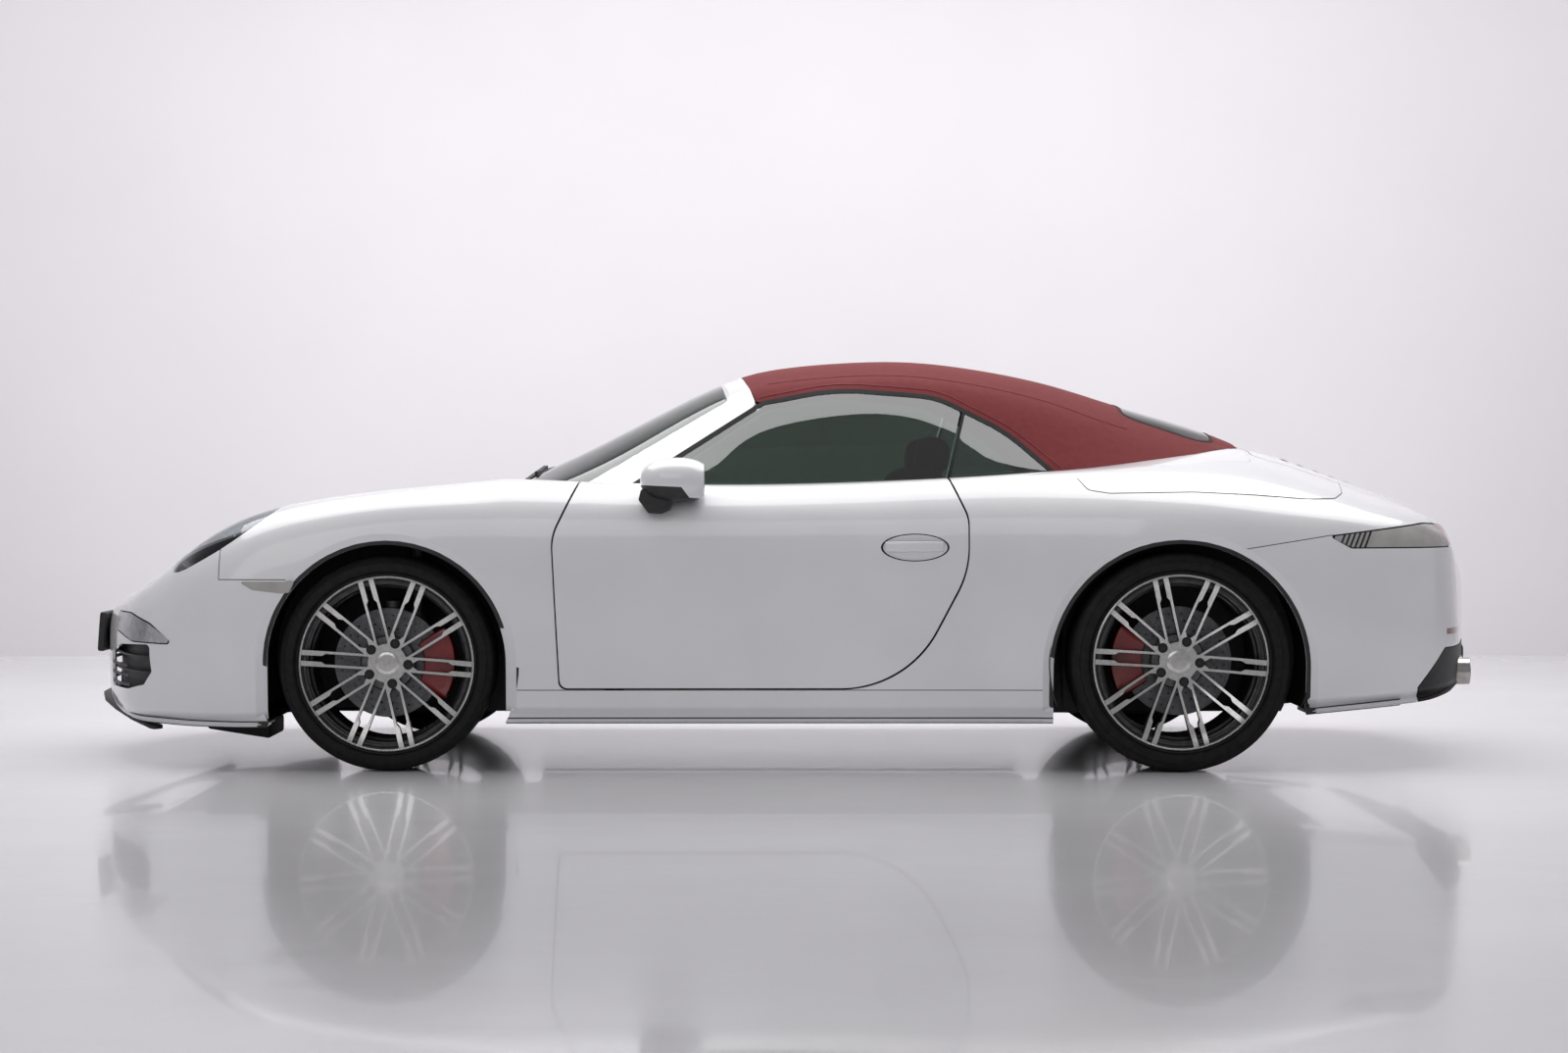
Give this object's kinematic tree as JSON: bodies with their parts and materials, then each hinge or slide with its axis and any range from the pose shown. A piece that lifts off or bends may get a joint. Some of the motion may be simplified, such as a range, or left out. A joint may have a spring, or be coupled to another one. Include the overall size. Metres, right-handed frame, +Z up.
{
  "type": "convertible car",
  "caption": "Two-door rear-engined convertible sports car with a closed fabric top, opening doors and lids, steering and rolling wheels.",
  "frame": {"origin": "on the floor, under the middle of the overall length, on the centre plane", "axes": "+X to the rear, +Y to the car's right, +Z up"},
  "size_m": [4.491, 1.978, 1.2899],
  "materials": {
    "alloy": "machined",
    "black_plastic": "satin",
    "clear_lens": "gloss",
    "grey_metal": "cast",
    "iron": "machined",
    "leather": "grained",
    "red_calliper": "gloss",
    "red_fabric": "woven",
    "red_lens": "gloss",
    "steel": "brushed",
    "tinted_glass": "gloss",
    "tyre_rubber": "matte",
    "white_paint": "gloss"
  },
  "bodies": {
    "body": {"body_shell": "white_paint", "centre_console": "leather", "dashboard": "leather", "door_hinges": "grey_metal", "engine_block": "grey_metal", "exhaust": "steel", "front_bumper": "white_paint", "front_fenders": "white_paint", "front_light_units": "clear_lens", "front_seats": "leather", "front_suspension": "grey_metal", "headlights": "clear_lens", "intake_grilles": "black_plastic", "lid_hinges": "grey_metal", "luggage_tub": "black_plastic", "quarter_windows": "tinted_glass", "rear_bumper": "white_paint", "rear_callipers": "red_calliper", "rear_hub_carriers": "grey_metal", "rear_seats": "leather", "rear_spoiler": "white_paint", "rear_suspension": "grey_metal", "rear_valance": "black_plastic", "rear_window": "tinted_glass", "seat_bases": "black_plastic", "side_skirts": "white_paint", "soft_top": "red_fabric", "steering_column": "black_plastic", "tail_lights": "red_lens", "top_compartment_lid": "white_paint", "underbody": "black_plastic", "wheel_arch_liners": "black_plastic", "windscreen": "tinted_glass", "windscreen_frame": "white_paint", "wipers": "black_plastic"},
    "door_left": {"door_left": "white_paint", "door_glass_left": "tinted_glass", "mirror_left": "white_paint"},
    "door_right": {"door_right": "white_paint", "door_glass_right": "tinted_glass", "mirror_right": "white_paint"},
    "front_lid": {"front_lid": "white_paint"},
    "engine_lid": {"engine_lid": "white_paint"},
    "steering_wheel": {"steering_wheel": "leather"},
    "knuckle_left": {"knuckle_left": "grey_metal", "front_calliper_left": "red_calliper"},
    "knuckle_right": {"knuckle_right": "grey_metal", "front_calliper_right": "red_calliper"},
    "wheel_front_left": {"tyre_front_left": "tyre_rubber", "rim_front_left": "alloy", "brake_disc_front_left": "iron"},
    "wheel_front_right": {"tyre_front_right": "tyre_rubber", "rim_front_right": "alloy", "brake_disc_front_right": "iron"},
    "wheel_rear_left": {"tyre_rear_left": "tyre_rubber", "rim_rear_left": "alloy", "brake_disc_rear_left": "iron"},
    "wheel_rear_right": {"tyre_rear_right": "tyre_rubber", "rim_rear_right": "alloy", "brake_disc_rear_right": "iron"}
  },
  "joints": [
    {"name": "door_left_hinge", "type": "hinge", "parent": "body", "child": "door_left", "pos_m": [-0.64, -0.878, 0.5], "axis": [0, 0, -1], "range_deg": [0, 65]},
    {"name": "door_right_hinge", "type": "hinge", "parent": "body", "child": "door_right", "pos_m": [-0.64, 0.878, 0.5], "axis": [0, 0, 1], "range_deg": [0, 65]},
    {"name": "front_lid_hinge", "type": "hinge", "parent": "body", "child": "front_lid", "pos_m": [-0.82, 0, 0.835], "axis": [0, 1, 0], "range_deg": [0, 50]},
    {"name": "engine_lid_hinge", "type": "hinge", "parent": "body", "child": "engine_lid", "pos_m": [1.455, 0, 0.978], "axis": [0, -1, 0], "range_deg": [0, 50]},
    {"name": "steering_wheel_turn", "type": "hinge", "parent": "body", "child": "steering_wheel", "pos_m": [-0.33, -0.37, 0.8], "axis": [0.9207, 0, 0.3903], "range_deg": [-455, 455]},
    {"name": "steer_left", "type": "hinge", "parent": "body", "child": "knuckle_left", "pos_m": [-1.2345, -0.699, 0.332], "axis": [0, 0, 1], "range_deg": [-35, 35]},
    {"name": "wheel_front_left_spin", "type": "hinge", "parent": "knuckle_left", "child": "wheel_front_left", "pos_m": [-1.2345, -0.769, 0.332], "axis": [0, 1, 0], "continuous": true},
    {"name": "wheel_rear_left_spin", "type": "hinge", "parent": "body", "child": "wheel_rear_left", "pos_m": [1.2155, -0.776, 0.338], "axis": [0, 1, 0], "continuous": true},
    {"name": "steer_right", "type": "hinge", "parent": "body", "child": "knuckle_right", "pos_m": [-1.2345, 0.699, 0.332], "axis": [0, 0, 1], "range_deg": [-35, 35]},
    {"name": "wheel_front_right_spin", "type": "hinge", "parent": "knuckle_right", "child": "wheel_front_right", "pos_m": [-1.2345, 0.769, 0.332], "axis": [0, 1, 0], "continuous": true},
    {"name": "wheel_rear_right_spin", "type": "hinge", "parent": "body", "child": "wheel_rear_right", "pos_m": [1.2155, 0.776, 0.338], "axis": [0, 1, 0], "continuous": true}
  ],
  "couplings": [
    {"joint": "steer_left", "follows": "steering_wheel_turn", "ratio": 0.076923},
    {"joint": "steer_right", "follows": "steering_wheel_turn", "ratio": 0.076923}
  ]
}
